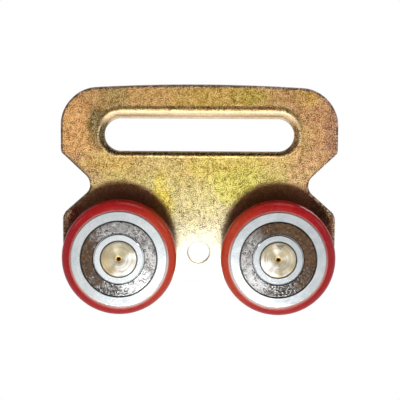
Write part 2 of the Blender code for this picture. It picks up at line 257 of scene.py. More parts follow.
def fill(tree, made, sockets):
    """Gives a node's inputs their values, or joins them to other nodes' outputs."""
    for key, value in sockets.items():
        if isinstance(value, bpy.types.NodeSocket):
            tree.links.new(value, made.inputs[key])
        else:
            made.inputs[key].default_value = value
    return made


def add(tree, kind, sockets, **settings):
    """A shader node with its settings and its inputs."""
    made = tree.nodes.new("ShaderNode" + kind)
    for key, value in settings.items():
        setattr(made, key, value)
    return fill(tree, made, sockets)


def maths(tree, operation, first, second=0.0, third=0.0, clamp=False):
    made = add(tree, "Math", {0: first, 1: second, 2: third}, operation=operation, use_clamp=clamp)
    return made.outputs[0]


def times(tree, first, second):
    return maths(tree, "MULTIPLY", first, second)


def squares(tree, across, up):
    """Two distances squared and added."""
    return maths(tree, "MULTIPLY_ADD", across, across, times(tree, up, up))


def off(tree, value, mark):
    """How far a value is from a mark, either way."""
    return maths(tree, "ABSOLUTE", maths(tree, "SUBTRACT", value, mark))


def raised(tree, value, pattern, amount):
    """A value with so much of a pattern added."""
    return maths(tree, "MULTIPLY_ADD", pattern, amount, value)


def swayed(tree, value, pattern, amount):
    """A value moved up and down by a pattern that runs from 0 to 1."""
    return raised(tree, value, maths(tree, "SUBTRACT", pattern, 0.5), amount)


def between(tree, value, low, high, start=0.0, end=1.0):
    """A smooth step from start to end, as value goes from low to high."""
    sockets = {"Value": value, "From Min": low, "From Max": high, "To Min": start, "To Max": end}
    return add(tree, "MapRange", sockets, interpolation_type="SMOOTHSTEP").outputs[0]


def mixed(tree, factor, first, second, blend="MIX"):
    """Two colours mixed. A colour is given as an output or as (red, green, blue)."""
    first, second = [(*c, 1.0) if isinstance(c, tuple) else c for c in (first, second)]
    made = add(tree, "Mix", {0: factor, 6: first, 7: second}, data_type="RGBA", blend_type=blend)
    return made.outputs[2]


def noise(tree, place, scale, detail=2.0, roughness=0.5, distortion=0.0):
    sockets = {"Vector": place, "Scale": scale, "Detail": detail}
    sockets |= {"Roughness": roughness, "Distortion": distortion}
    return add(tree, "TexNoise", sockets).outputs["Fac"]


def relief(tree, height, strength, distance):
    """The normals of a surface that a pattern raises by up to a distance."""
    return add(tree, "Bump", {"Height": height, "Strength": strength, "Distance": distance}).outputs[0]


def start_group(name, inputs, outputs):
    """A node group with float or vector inputs, given with their defaults, and float outputs."""
    tree = bpy.data.node_groups.new(name, "ShaderNodeTree")
    for label, default in inputs.items():
        kind = "NodeSocketVector" if isinstance(default, tuple) else "NodeSocketFloat"
        tree.interface.new_socket(label, in_out="INPUT", socket_type=kind).default_value = default
    for label in outputs:
        tree.interface.new_socket(label, in_out="OUTPUT", socket_type="NodeSocketFloat")
    return tree, tree.nodes.new("NodeGroupInput").outputs, tree.nodes.new("NodeGroupOutput")


def use_group(tree, group, sockets):
    return add(tree, "Group", sockets, node_tree=group).outputs


def make_speckle():
    """Fine etched grain: pits that stay dark, crystals that catch the light, and the relief they make."""
    inputs = {"Fineness": 3400.0, "Cover": 0.5}
    tree, given, results = start_group("etched_speckle", inputs, ("Pits", "Glints", "Relief"))
    place = add(tree, "TexCoord", {}).outputs["Object"]
    grain = noise(tree, place, given["Fineness"], 2.0, 0.7)
    clumps = noise(tree, place, times(tree, given["Fineness"], 0.27), 2.0, 0.6, 0.4)
    clumped = swayed(tree, grain, clumps, 0.35)
    level = swayed(tree, clumped, given["Cover"], 0.2)
    pits = between(tree, level, 0.48, 0.62)
    glints = between(tree, level, 0.48, 0.36)
    fill(tree, results, {"Pits": pits, "Glints": glints, "Relief": grain})
    return tree


etched_speckle = make_speckle()

height_tints = (
    # how far up the plate, and the film's colour there, paled towards the foot by a painted highlight
    (0.0, (0.80, 0.76, 0.62)),
    (0.3, (0.62, 0.57, 0.34)),
    (0.52, (0.58, 0.48, 0.18)),
    (0.72, (0.63, 0.41, 0.14)),
    (1.0, (0.64, 0.37, 0.14)),
)
plate_tints = (
    # its name, where in the plate it is (x, z), how far it spreads (along x, along z), its colour, how strong
    ("left end", (-0.037, -0.002), (0.013, 0.014), (0.77, 0.385, 0.165), 0.8),
    ("left shoulder", (-0.0312, -0.0142), (0.0075, 0.006), (0.45, 0.25, 0.155), 0.85),
    ("right end", (0.036, -0.002), (0.012, 0.016), (0.56, 0.27, 0.145), 0.85),
    ("right shoulder", (0.032, -0.015), (0.009, 0.009), (0.60, 0.34, 0.19), 0.8),
    ("olive at the slot's left end", (-0.0276, -0.002), (0.0038, 0.0075), (0.17, 0.115, 0.04), 1.0),
    ("olive over the slot's left end", (-0.0245, 0.0060), (0.0060, 0.0045), (0.36, 0.26, 0.09), 0.7),
    ("yellow over the slot's right end", (0.0290, 0.0062), (0.0045, 0.0030), (0.74, 0.45, 0.11), 0.8),
    ("brown over the slot's right end", (0.0230, 0.0055), (0.006, 0.004), (0.46, 0.24, 0.11), 0.55),
    ("pink over the slot's left end", (-0.0300, 0.0062), (0.0060, 0.0040), (0.54, 0.28, 0.14), 0.6),
    ("yellow under the slot, left", (-0.0260, -0.0122), (0.008, 0.003), (0.66, 0.44, 0.12), 0.7),
    ("cream under the slot", (-0.0110, -0.0130), (0.008, 0.005), (0.62, 0.49, 0.24), 0.5),
    ("yellow under the slot, right", (0.0080, -0.0130), (0.014, 0.006), (0.66, 0.55, 0.11), 0.7),
    ("green by the right wheel", (0.0130, -0.0190), (0.012, 0.006), (0.60, 0.58, 0.10), 0.85),
    ("yellow by the left wheel", (-0.0100, -0.0238), (0.0038, 0.011), (0.72, 0.60, 0.07), 0.9),
    ("yellow in the top bar", (0.0040, 0.0060), (0.016, 0.004), (0.58, 0.38, 0.07), 0.8),
    ("green in the top bar", (0.0145, 0.0062), (0.006, 0.0028), (0.50, 0.37, 0.05), 0.85),
    ("mauve right edge", (0.0370, -0.0050), (0.0040, 0.0100), (0.37, 0.17, 0.12), 0.9),
    ("olive by the slot's right end", (0.0290, -0.0062), (0.0022, 0.0036), (0.38, 0.25, 0.09), 0.6),
    ("between the wheels", (0.0, -0.0230), (0.006, 0.006), (0.56, 0.50, 0.24), 0.5),
    # the pale foot is a painted highlight, where the low lamp's reflection whitens the plate
    ("pale foot", (0.0, -0.0440), (0.024, 0.0160), (0.95, 0.93, 0.91), 1.0),
)
ear_tints_and_shadows = (
    # the same, for the plate's front alone: painted shadow over the left ear and the right ear's inner side,
    # where the wheels' shadows fall, and pink along the right ear's edge
    ("maroon left ear", (-0.0355, -0.0295), (0.0060, 0.0105), (0.15, 0.022, 0.020), 1.0),
    ("pink right ear", (0.0360, -0.0300), (0.0045, 0.0100), (0.34, 0.10, 0.08), 0.9),
    ("brown right ear", (0.0340, -0.0252), (0.0050, 0.0055), (0.06, 0.020, 0.010), 0.9),
)
# painted shadow: the colour of a disc behind each wheel, where its shadow falls on the plate's front, and how
# far above the axle the disc is centred
wheel_shadow_brown = (0.20, 0.060, 0.040)
wheel_shadow_rise = 0.0057  # how far above its axle the brown behind a wheel is centred
pit_brown = (0.10, 0.050, 0.022)
crystal_gold = (0.94, 0.75, 0.44)


def patch(tree, spot, raggedness, where, spread, strength):
    """A soft oval in the plate's plane with a ragged edge."""
    east = maths(tree, "DIVIDE", maths(tree, "SUBTRACT", spot["X"], where[0]), spread[0])
    north = maths(tree, "DIVIDE", maths(tree, "SUBTRACT", spot["Z"], where[1]), spread[1])
    ragged = swayed(tree, squares(tree, east, north), raggedness, 1.6)
    return between(tree, ragged, 1.15, 0.0, 0.0, strength)


def slot_edge_tints(tree, spot, tint, on_front):
    """Painted highlight in cream on the upper lip, which faces the low lamps, with painted shade in a band
    above it;
    brown in the slot's wall; painted shade nearly black along the lower lip, which faces up; and painted
    highlight along the rims at the slot's ends.
    Returns the tint, how much of a point is that upper lip, and how much is the torn lower wall."""
    lip_above, lip_beside, lip_below = edge_above[0], edge_beside[0], edge_below[0]
    beyond = maths(tree, "SUBTRACT", maths(tree, "ABSOLUTE", spot["X"]), slot_reach)
    beyond = maths(tree, "MAXIMUM", beyond, 0.0)
    above = maths(tree, "ADD", spot["Z"], slot_radius)
    from_middle = maths(tree, "SQRT", squares(tree, beyond, above))
    from_slot = maths(tree, "SUBTRACT", from_middle, slot_radius)

    upward = times(tree, between(tree, above, 0.001, 0.005), on_front)
    lip = times(tree, between(tree, from_slot, lip_above + 0.0001, lip_above - 0.0006), upward)
    # painted shade in a band above the upper lip
    shaded = between(tree, from_slot, lip_above + 0.0012, lip_above + 0.0005, 0.0, 0.6)
    tint = mixed(tree, times(tree, shaded, upward), tint, (0.22, 0.16, 0.07))
    # painted highlight: the upper lip is painted cream where it faces the low lamps, less towards the slot's
    # corners
    cream = between(tree, from_slot, 0.0020, 0.0009)
    cream = mixed(tree, cream, (0.82, 0.63, 0.45), (0.95, 0.77, 0.60))
    lip_inner_line = between(tree, from_slot, 0.00030, 0.00015, 0.0, 0.8)
    lit_lip_tint = mixed(tree, lip_inner_line, cream, (0.30, 0.17, 0.10))
    corner_fade = between(tree, beyond, 0.0060, 0.0022, 0.45, 0.92)
    tint = mixed(tree, times(tree, lip, corner_fade), tint, lit_lip_tint)

    # painted shade: the lower lip, which faces up, is painted nearly black, with a pale line below it
    under = times(tree, between(tree, above, 0.0025, -0.001), on_front)
    low_lip = times(tree, between(tree, from_slot, lip_below - 0.0001, lip_below - 0.0005), under)
    low_lip_shade = between(tree, from_slot, 0.00015, 0.00040)
    low_lip_shade = mixed(tree, low_lip_shade, (0.24, 0.15, 0.06), (0.07, 0.035, 0.012))
    tint = mixed(tree, times(tree, low_lip, 0.9), tint, low_lip_shade)
    low_rim = between(tree, off(tree, from_slot, lip_below + 0.0005), 0.0004, 0.0002, 0.0, 0.3)
    tint = mixed(tree, times(tree, low_rim, under), tint, (0.60, 0.48, 0.32))

    # painted highlight: a cream line along the rims at the slot's ends
    rim = between(tree, off(tree, from_slot, lip_beside + 0.0003), 0.00035, 0.00015, 0.0, 0.6)
    rim = times(tree, rim, between(tree, beyond, 0.0010, 0.0030))
    rim = times(tree, rim, between(tree, maths(tree, "ABSOLUTE", above), 0.0034, 0.0014))
    tint = mixed(tree, times(tree, rim, on_front), tint, (0.86, 0.72, 0.55))
    end_lip = times(tree, between(tree, from_slot, lip_beside + 0.0002, lip_beside - 0.0002), on_front)
    low_end = times(tree, end_lip, between(tree, above, 0.0045, 0.0015))
    left_end = between(tree, spot["X"], -slot_reach, -slot_reach - 0.003)
    right_end = between(tree, spot["X"], slot_reach, slot_reach + 0.003)
    tint = mixed(tree, times(tree, low_end, left_end), tint, (0.09, 0.065, 0.03))
    tint = mixed(tree, times(tree, low_end, right_end), tint, (0.30, 0.17, 0.075))

    wall_tint = mixed(tree, right_end, (0.26, 0.18, 0.08), (0.80, 0.52, 0.24))
    wall_tint = mixed(tree, between(tree, above, -0.001, -0.004), wall_tint, (0.26, 0.165, 0.07))
    wall = between(tree, spot["Y"], plate_front + 0.0006, plate_front + 0.0012)
    wall = maths(tree, "SUBTRACT", wall, lip, clamp=True)
    wall = times(tree, wall, between(tree, spot["Y"], plate_back - 0.00001, plate_back - 0.00015))
    wall = times(tree, wall, between(tree, spot["Z"], -0.034, -0.028))
    tint = mixed(tree, times(tree, wall, 0.85), tint, wall_tint)
    return tint, lip, times(tree, wall, between(tree, above, 0.0, -0.004))


def sheared_edge_tint(tree, place, spot, drift):
    """The blank's cut edge: burnished towards the front, torn towards the back, with its rims painted dark as
    shade and dotted with painted highlights in pink, more of them towards the right.
    """
    # painted shade and highlight: the rims are dark, dotted with pink that grows towards the right
    dots = noise(tree, place, 1500.0, 1.0)
    fewer_dots = between(tree, spot["X"], 0.0, 0.032, 0.10, -0.02)
    highlight_dots = between(tree, maths(tree, "SUBTRACT", dots, fewer_dots), 0.50, 0.56)
    rim_shade_and_highlight = mixed(tree, highlight_dots, (0.10, 0.065, 0.045), (0.74, 0.46, 0.36))
    drawn = add(tree, "VectorMath", {0: place, 1: (1.0, 0.10, 1.0)}, operation="MULTIPLY").outputs[0]
    streaks = noise(tree, drawn, 2600.0, 2.0, 0.6)
    torn = mixed(tree, between(tree, streaks, 0.38, 0.62), (0.17, 0.115, 0.06), (0.44, 0.32, 0.17))
    burnished = mixed(tree, between(tree, streaks, 0.42, 0.60), (0.38, 0.28, 0.14), (0.58, 0.45, 0.24))
    depth = raised(tree, spot["Y"], drift, 0.0010)
    cut_tint = mixed(tree, between(tree, depth, 0.0006, 0.0003), torn, burnished)
    from_middle = maths(tree, "ABSOLUTE", spot["Y"])
    return mixed(tree, between(tree, from_middle, 0.00135, 0.00115), rim_shade_and_highlight, cut_tint)


def yellow_passivate():
    """Iridescent yellow film on etched zinc: drifting tints, dark pits, bright crystals; with painted shadow
    behind the wheels and on the ears, and a painted highlight paling the foot and the slot's upper lip.
    """
    material, tree, shader = start_material("yellow_passivate")
    place = add(tree, "TexCoord", {}).outputs["Object"]
    spot = add(tree, "SeparateXYZ", {0: place}).outputs
    on_front = between(tree, spot["Y"], plate_back - 0.00005, plate_back - 0.00020)
    drift = noise(tree, place, 110.0, 3.0, 0.55, 0.6)
    drift_across = noise(tree, place, 190.0, 2.0, 0.5, 0.4)
    height = between(tree, swayed(tree, spot["Z"], drift, 0.011), plate_low.z, plate_high.z)
    ramp = add(tree, "ValToRGB", {0: height})
    stops = ramp.color_ramp.elements
    for share, _ in height_tints[1:-1]:
        stops.new(share)
    for stop, (_, colour) in zip(stops, height_tints):
        stop.color = (*colour, 1)
    tint = ramp.outputs[0]
    for _, where, spread, colour, strength in plate_tints:
        tint = mixed(tree, patch(tree, spot, drift_across, where, spread, strength), tint, colour)
    # painted shadow: the plate's front is browned in a disc behind each wheel, where the wheel's shadow falls
    beside = maths(tree, "SUBTRACT", maths(tree, "ABSOLUTE", spot["X"]), wheel_centre["right"].x)
    over_axle = maths(tree, "SUBTRACT", spot["Z"], axle_height + wheel_shadow_rise)
    from_wheel = maths(tree, "SQRT", squares(tree, beside, over_axle))
    painted_wheel_shadow = times(tree, between(tree, from_wheel, 0.0152, 0.0130), on_front)
    tint = mixed(tree, times(tree, painted_wheel_shadow, 0.88), tint, wheel_shadow_brown)
    # painted shadow over the ears where the wheels' shadows fall, and pink on the right ear's edge
    for _, where, spread, colour, strength in ear_tints_and_shadows:
        here = times(tree, patch(tree, spot, drift_across, where, spread, strength), on_front)
        tint = mixed(tree, here, tint, colour)
    tint, lip, low_wall = slot_edge_tints(tree, spot, tint, on_front)
    hue = between(tree, noise(tree, place, 800.0, 2.0, 0.6), 0.35, 0.65)
    tint = mixed(tree, 1.0, tint, mixed(tree, hue, (1.0, 0.91, 0.86), (0.97, 1.0, 0.74)), "MULTIPLY")
    sheared = add(tree, "Attribute", {}, attribute_name="sheared").outputs["Fac"]
    # the cut edges' tint fades out towards the foot, under the painted highlight there
    sheared = times(tree, sheared, between(tree, spot["Z"], -0.044, -0.030))
    edge_tint = sheared_edge_tint(tree, place, spot, drift)
    tint = mixed(tree, times(tree, sheared, 0.9), tint, edge_tint)
    speckle = use_group(tree, etched_speckle, {"Fineness": 3400.0, "Cover": 0.5})
    # the speckle fades out under painted light: at the foot's painted highlight, on the upper lip's painted
    # highlight and in the painted shadow behind the wheels
    etched = between(tree, spot["Z"], -0.038, -0.028, 0.10, 1.0)
    etched = times(tree, etched, between(tree, lip, 0, 1, 1, 0.30))
    etched = times(tree, etched, between(tree, painted_wheel_shadow, 0, 1, 1, 0.35))
    tint = mixed(tree, times(tree, speckle["Pits"], times(tree, etched, 0.90)), tint, pit_brown)
    tint = mixed(tree, times(tree, speckle["Glints"], times(tree, etched, 0.50)), tint, crystal_gold)
    rough = raised(tree, 0.36, drift, 0.08)
    rough = raised(tree, rough, speckle["Pits"], 0.10)
    torn_metal = maths(tree, "MAXIMUM", sheared, low_wall)
    look = {
        "Base Color": tint,
        "Roughness": raised(tree, rough, torn_metal, 0.30),
        "Metallic": raised(tree, 1.0, torn_metal, -0.5),
        "Normal": relief(tree, speckle["Relief"], 0.30, 0.00012),
    }
    fill(tree, shader, look)
    return material


plate_finish = yellow_passivate()
finish_mesh(
    "hanger_plate_stamping", model_plate(), plate_finish, "hanger", ["hanger_plate"]
)

# --- Studs ---
# Each axle is a turned steel stud. A collar spaces the bearing off the plate, and the shank goes through the
# plate and is spun over into a low head behind it. The front end is faced, dished and centre-drilled.

stud_low, stud_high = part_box("axle_left")
stud_front = stud_low.y
stud_back = stud_high.y
inner_ring_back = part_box("inner_ring_left")[1].y
journal_radius = 0.00494
journal_chamfer = 0.00014
collar_radius = 0.0065
shank_radius = 0.0040
stud_head_radius = 0.0065
stud_head_top = 0.0039
shoulder_gap = 0.00005
film_yellow = (0.37, 0.285, 0.15)
highlight_white = (0.93, 0.925, 0.91)


def turn(profile, centre, steps=96, softened=0.0):
    """Turns a closed or axis-to-axis profile of (radius, y) points about a wheel's axis, and softens its
    edges."""
    bm = bmesh.new()
    verts = [bm.verts.new((centre.x + radius, y, centre.z)) for radius, y in profile]
    edges = [bm.edges.new(pair) for pair in zip(verts, verts[1:])]
    if profile[0][0] > 0:
        edges.append(bm.edges.new((verts[-1], verts[0])))
    bmesh.ops.spin(
        bm,
        geom=verts + edges,
        cent=Vector((centre.x, 0, centre.z)),
        axis=(0, 1, 0),
        dvec=(0, 0, 0),
        steps=steps,
        angle=math.tau,
        use_merge=True,
    )
    bmesh.ops.remove_doubles(bm, verts=bm.verts, dist=0.0000001)
    bmesh.ops.recalc_face_normals(bm, faces=bm.faces)
    if softened:
        sharp = [edge for edge in bm.edges if edge.calc_face_angle(0) > math.radians(28)]
        break_edges(bm, sharp, softened, 3)
    return bm


def stud_profile():
    """From the centre drilling round the stud to the dimple in its riveted head."""
    collar_front = inner_ring_back + shoulder_gap
    collar_back = plate_front - shoulder_gap
    head_front = plate_back + shoulder_gap
    return [
        (0, stud_front + 0.0016),
        (0.00030, stud_front + 0.0014),
        (0.00036, stud_front + 0.0008),
        (0.00062, stud_front + 0.00010),
        (0.0014, stud_front + 0.00006),
        (0.0026, stud_front + 0.00002),
        (0.0038, stud_front),
        (journal_radius - journal_chamfer, stud_front),
        (journal_radius, stud_front + journal_chamfer),
        (journal_radius, collar_front),
        (collar_radius, collar_front),
        (collar_radius, collar_back),
        (shank_radius, collar_back),
        (shank_radius, head_front),
        (stud_head_radius, head_front),
        (stud_head_radius, head_front + 0.0006),
        (0.0062, stud_back - 0.0007),
        (0.0053, stud_back - 0.00022),
        (stud_head_top, stud_back),
        (0.0015, stud_back - 0.0001),
        (0.0007, stud_back - 0.0004),
        (0, stud_back - 0.0005),
    ]


def make_turned_marks():
    """Rings left by turning about an axis along Y: fine lines in short arcs and broad sheens that fan out,
    with how far out a point lies, and which way."""
    inputs = {"Centre": (0.0, 0.0, 0.0), "Fineness": 3000.0}
    outputs = ("Lines", "Sheen", "Radius", "East", "North")
    tree, given, results = start_group("turned_marks", inputs, outputs)
    place = add(tree, "TexCoord", {}).outputs["Object"]
    offset = add(tree, "VectorMath", {0: place, 1: given["Centre"]}, operation="SUBTRACT").outputs[0]
    spot = add(tree, "SeparateXYZ", {0: offset}).outputs
    flat = add(tree, "CombineXYZ", {"X": spot["X"], "Z": spot["Z"]}).outputs[0]
    radius = add(tree, "VectorMath", {0: flat}, operation="LENGTH").outputs["Value"]
    away = add(tree, "VectorMath", {0: flat}, operation="NORMALIZE").outputs[0]
    away = add(tree, "SeparateXYZ", {0: away}).outputs
    aside = times(tree, spot["X"], 0.06)
    upward = times(tree, spot["Z"], 0.06)
    arcs = add(tree, "CombineXYZ", {"X": radius, "Y": aside, "Z": upward}).outputs[0]
    fans = add(tree, "CombineXYZ", {"X": away["X"], "Y": away["Z"]}).outputs[0]
    lines = noise(tree, arcs, given["Fineness"], 2.0, 0.6)
    sheen = noise(tree, fans, 1.1, 1.0, 0.5)
    whereabouts = {"Radius": radius, "East": away["X"], "North": away["Z"]}
    fill(tree, results, {"Lines": lines, "Sheen": sheen, **whereabouts})
    return tree


turned_marks = make_turned_marks()

stud_looks = {
    # the side where a painted highlight whitens the end (x, z) and how strong it is, the side where it is
    # yellowest and how strong it is there, and where the end's nick is, if it has one
    "left": ((0.80, -0.60), 0.68, (-0.91, -0.41), 0.80, None),
    "right": ((-0.86, -0.51), 0.50, (0.0, 1.0), 0.30, (0.0005, 0.0036)),
}


def start_turned(name, side, fineness):
    """A material for a turned, ground or moulded round piece, with its turned marks and its coordinates."""
    material, tree, shader = start_material(f"{name}_{side}")
    marks = use_group(tree, turned_marks, {"Centre": tuple(wheel_centre[side]), "Fineness": fineness})
    return material, tree, shader, marks, add(tree, "TexCoord", {}).outputs["Object"]


def towards(tree, marks, way):
    """How nearly a point lies in a direction (x, z) from the axle, from -1 to 1."""
    return maths(tree, "MULTIPLY_ADD", marks["East"], way[0], times(tree, marks["North"], way[1]))


def nick_scar(tree, place, centre, nick):
    """A small three-cornered scar that points down."""
    spot = add(tree, "SeparateXYZ", {0: place}).outputs
    east = maths(tree, "SUBTRACT", spot["X"], centre.x + nick[0])
    north = maths(tree, "SUBTRACT", spot["Z"], centre.z + nick[1])
    half_width_here = raised(tree, 0.00085, north, 0.95)
    inside = maths(tree, "SUBTRACT", half_width_here, maths(tree, "ABSOLUTE", east))
    return times(tree, between(tree, inside, 0.0, 0.00012), between(tree, north, 0.00060, 0.00045))


def pale_passivate(side):
    """Turned steel under a thin yellow film, painted white on one side as a highlight, with a dark nick near
    one end's edge.
    """
    material, tree, shader, marks, place = start_turned("pale_passivate", side, 2600.0)
    stud_highlight_side, stud_highlight_strength, yellow_side, yellowed, nick = stud_looks[side]
    radius = marks["Radius"]
    blotch = noise(tree, place, 420.0, 3.0, 0.6, 0.5)
    film = mixed(tree, between(tree, blotch, 0.36, 0.62), (0.42, 0.37, 0.26), (0.58, 0.555, 0.50))
    film = mixed(tree, between(tree, marks["Sheen"], 0.40, 0.62, 0.0, 0.65), film, (0.35, 0.29, 0.15))
    film = mixed(tree, between(tree, marks["Lines"], 0.42, 0.60, 0.0, 0.50), film, (0.28, 0.25, 0.19))
    yellow = swayed(tree, towards(tree, marks, yellow_side), blotch, 0.8)
    yellow = between(tree, yellow, 0.40, 0.85, 0.0, yellowed)
    yellow = times(tree, yellow, between(tree, radius, 0.0018, 0.0032))
    film = mixed(tree, yellow, film, film_yellow)
    film = mixed(tree, between(tree, radius, 0.0026, 0.0016, 0.0, 0.55), film, (0.32, 0.28, 0.17))
    # painted highlight: the end is painted white on the side where the lamps' reflection falls
    toward_stud_highlight = swayed(tree, towards(tree, marks, stud_highlight_side), blotch, 0.8)
    toward_stud_highlight = swayed(tree, toward_stud_highlight, marks["Lines"], 2.4)
    stud_highlight = times(tree, between(tree, toward_stud_highlight, 0.45, 1.08, 0.0, stud_highlight_strength), between(tree, radius, 0.0008, 0.0024))
    film = mixed(tree, stud_highlight, film, highlight_white)
    film = mixed(tree, between(tree, radius, 0.00100, 0.00078), film, (0.78, 0.52, 0.20))
    # painted shade: the centre drilling is painted nearly black
    film = mixed(tree, between(tree, radius, 0.00042, 0.00028), film, (0.10, 0.05, 0.015))
    from_edge = off(tree, radius, journal_radius - 0.00003)
    film = mixed(tree, between(tree, from_edge, 0.00020, 0.00006, 0.0, 0.85), film, (0.13, 0.11, 0.08))
    if nick:
        scarred = mixed(tree, between(tree, marks["Lines"], 0.4, 0.6), (0.10, 0.10, 0.09), (0.24, 0.23, 0.21))
        film = mixed(tree, nick_scar(tree, place, wheel_centre[side], nick), film, scarred)
    rough = raised(tree, 0.34, between(tree, marks["Sheen"], 0.40, 0.62), 0.10)
    look = {
        "Base Color": film,
        "Roughness": raised(tree, rough, marks["Lines"], 0.16),
        "Metallic": 1.0,
        "Normal": relief(tree, marks["Lines"], 0.35, 0.00003),
    }
    fill(tree, shader, look)
    return material


for side, centre in wheel_centre.items():
    stud = turn(stud_profile(), centre, softened=0.00005)
    finish_mesh(f"stud_{side}", stud, pale_passivate(side), "hanger", [f"axle_{side}"])

# --- Bearing rings ---
# Hardened bearing steel, ground and polished, each ring with a raceway. The outer ring's mouth has a groove
# on each side for a shield's rim. The inner rings stay with their studs, and the outer ones turn with their
# tyres.

outer_ring_low, outer_ring_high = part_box("outer_ring_left")
ring_front = outer_ring_low.y
ring_back = outer_ring_high.y
bearing_middle = (ring_front + ring_back) / 2
half_width = (ring_back - ring_front) / 2
outer_ring_radius = outer_ring_high.x - wheel_centre["left"].x
bore_radius = 0.0050
bore_chamfer = 0.00012
inner_face_radius = 0.0067
inner_shoulder_radius = 0.00685
outer_shoulder_radius = 0.01030
mouth_radius = 0.01045
ring_chamfer = 0.00014
groove_depth = 0.00035
shield_recess = 0.0002
shield_sheet = 0.00025
ball_circle = (mouth_radius + inner_face_radius) / 2
race_radius = 0.0025
ring_greys_lit_and_shaded = {
    # the darker and the lighter grey of each bearing's rings, and the grey that its inner ring leans to; the
    # left bearing's are lighter and the right's darker, as painted light and shade
    "left": ((0.51, 0.55, 0.56), (0.58, 0.60, 0.605), (0.72, 0.74, 0.745)),
    "right": ((0.44, 0.475, 0.49), (0.51, 0.53, 0.545), (0.40, 0.42, 0.425)),
}


def swept(centre, radius, start, end, steps):
    """Points along an arc between two angles, in degrees."""
    angles = [math.radians(start + (end - start) * step / steps) for step in range(steps + 1)]
    return [(centre[0] + radius * math.cos(angle), centre[1] + radius * math.sin(angle)) for angle in angles]


def both_sides(front_half):
    """A ring's profile from its front half, given as (radius, distance forward of the middle)."""
    front = [(radius, bearing_middle - forward) for radius, forward in front_half]
    return front + [(radius, 2 * bearing_middle - y) for radius, y in reversed(front)]


def outer_ring_half():
    shield_back = half_width - shield_recess - shield_sheet
    return swept((ball_circle, 0), race_radius, 2, 44, 6) + [
        (outer_shoulder_radius, shield_back - 0.00035),
        (mouth_radius + groove_depth, shield_back - 0.00035),
        (mouth_radius + groove_depth, shield_back + 0.0001),
        (mouth_radius, shield_back + 0.0001),
        (mouth_radius, half_width - 0.0001),
        (mouth_radius + 0.0001, half_width),
        (mouth_radius + 0.00016, half_width),
        (outer_ring_radius - ring_chamfer - 0.00006, half_width),
        (outer_ring_radius - ring_chamfer, half_width),
        (outer_ring_radius - ring_chamfer * 0.35, half_width - ring_chamfer * 0.35),
        (outer_ring_radius, half_width - ring_chamfer),
    ]


def inner_ring_half():
    step_back = half_width - shield_recess - 2 * shield_sheet
    return [
        (bore_radius, half_width - bore_chamfer),
        (bore_radius + bore_chamfer, half_width),
        (bore_radius + bore_chamfer + 0.00006, half_width),
        (inner_face_radius - 0.00021, half_width),
        (inner_face_radius - 0.00015, half_width),
        (inner_face_radius, half_width - 0.00015),
        (inner_face_radius, step_back),
        (inner_shoulder_radius, step_back),
    ] + swept((ball_circle, 0), race_radius, 136, 178, 6)


def ground_steel(side):
    """Ground steel with faint circular marks, a cold grey film, a few fine specks and duller dark edges, with
    painted light and shade: lighter on the left bearing and darker on the right.
    """
    material, tree, shader, marks, place = start_turned("ground_steel", side, 4200.0)
    # painted light and shade: the left bearing's greys are lighter and the right's darker
    darker, lighter, inner = ring_greys_lit_and_shaded[side]
    radius = marks["Radius"]
    cloud = noise(tree, place, 300.0, 3.0, 0.6, 0.4)
    colour = mixed(tree, between(tree, cloud, 0.35, 0.65), darker, lighter)
    colour = mixed(tree, between(tree, marks["Lines"], 0.45, 0.66, 0.0, 0.25), colour, (0.46, 0.50, 0.52))
    specks = noise(tree, place, 3400.0, 1.0)
    colour = mixed(tree, between(tree, specks, 0.70, 0.76, 0.0, 0.6), colour, (0.25, 0.24, 0.22))
    colour = mixed(tree, between(tree, radius, 0.0075, 0.0069, 0.0, 0.4), colour, inner)
    mouth_edge = between(tree, off(tree, radius, mouth_radius - 0.00005), 0.00016, 0.00009)
    colour = mixed(tree, mouth_edge, colour, (0.09, 0.085, 0.08))
    bore_edge = between(tree, radius, bore_radius + 0.00015, bore_radius + 0.00010, 0.0, 0.85)
    colour = mixed(tree, bore_edge, colour, (0.12, 0.11, 0.10))
    rim_edge = between(tree, radius, outer_ring_radius - 0.00020, outer_ring_radius - 0.00014)
    edges = maths(tree, "MAXIMUM", rim_edge, maths(tree, "MAXIMUM", mouth_edge, bore_edge))
    rough = raised(tree, 0.070, cloud, 0.04)
    rough = raised(tree, rough, marks["Lines"], 0.06)
    look = {
        "Base Color": colour,
        "Roughness": raised(tree, rough, edges, 0.35),
        "Metallic": 1.0,
        "Normal": relief(tree, marks["Lines"], 0.10, 0.00002),
    }
    fill(tree, shader, look)
    return material


for side, centre in wheel_centre.items():
    steel = ground_steel(side)
    outer = turn(both_sides(outer_ring_half()), centre, 128)
    finish_mesh(f"bearing_outer_{side}", outer, steel, f"wheel_{side}", [f"outer_ring_{side}"])
    inner = turn(both_sides(inner_ring_half()), centre, 96)
    finish_mesh(f"bearing_inner_{side}", inner, steel, "hanger", [f"inner_ring_{side}"])

# --- Shields ---
# Pressed sheet-steel discs, snapped into the outer rings front and back. They are the plainest metal on the
# wheels, and have gone spotty and brown in patches.

shield_outside = 0.01028
shield_bore = 0.00698
shield_chamfer = 0.00012
shield_lip_back = shield_sheet - 0.00004  # how far the turned-down rim reaches behind the sheet
black_speck = (0.022, 0.018, 0.015)
bare_scratch = (0.70, 0.69, 0.68)
shield_looks = {
    # each bearing's darker and lighter grey, the side that has browned (x, z), how far round it goes, the
    # side with black specks, and the side that a painted highlight brightens, with its grey there
    "left": (
        (0.32, 0.31, 0.30), (0.54, 0.53, 0.52), (-1.0, -0.08), 0.55, (-0.60, -0.80), (0.56, -0.83), 0.88
    ),
    "right": (
        (0.19, 0.18, 0.17), (0.40, 0.39, 0.38), (0.82, 0.57), -0.10, (0.50, -0.87), (-0.80, -0.60), 0.47
    ),
}


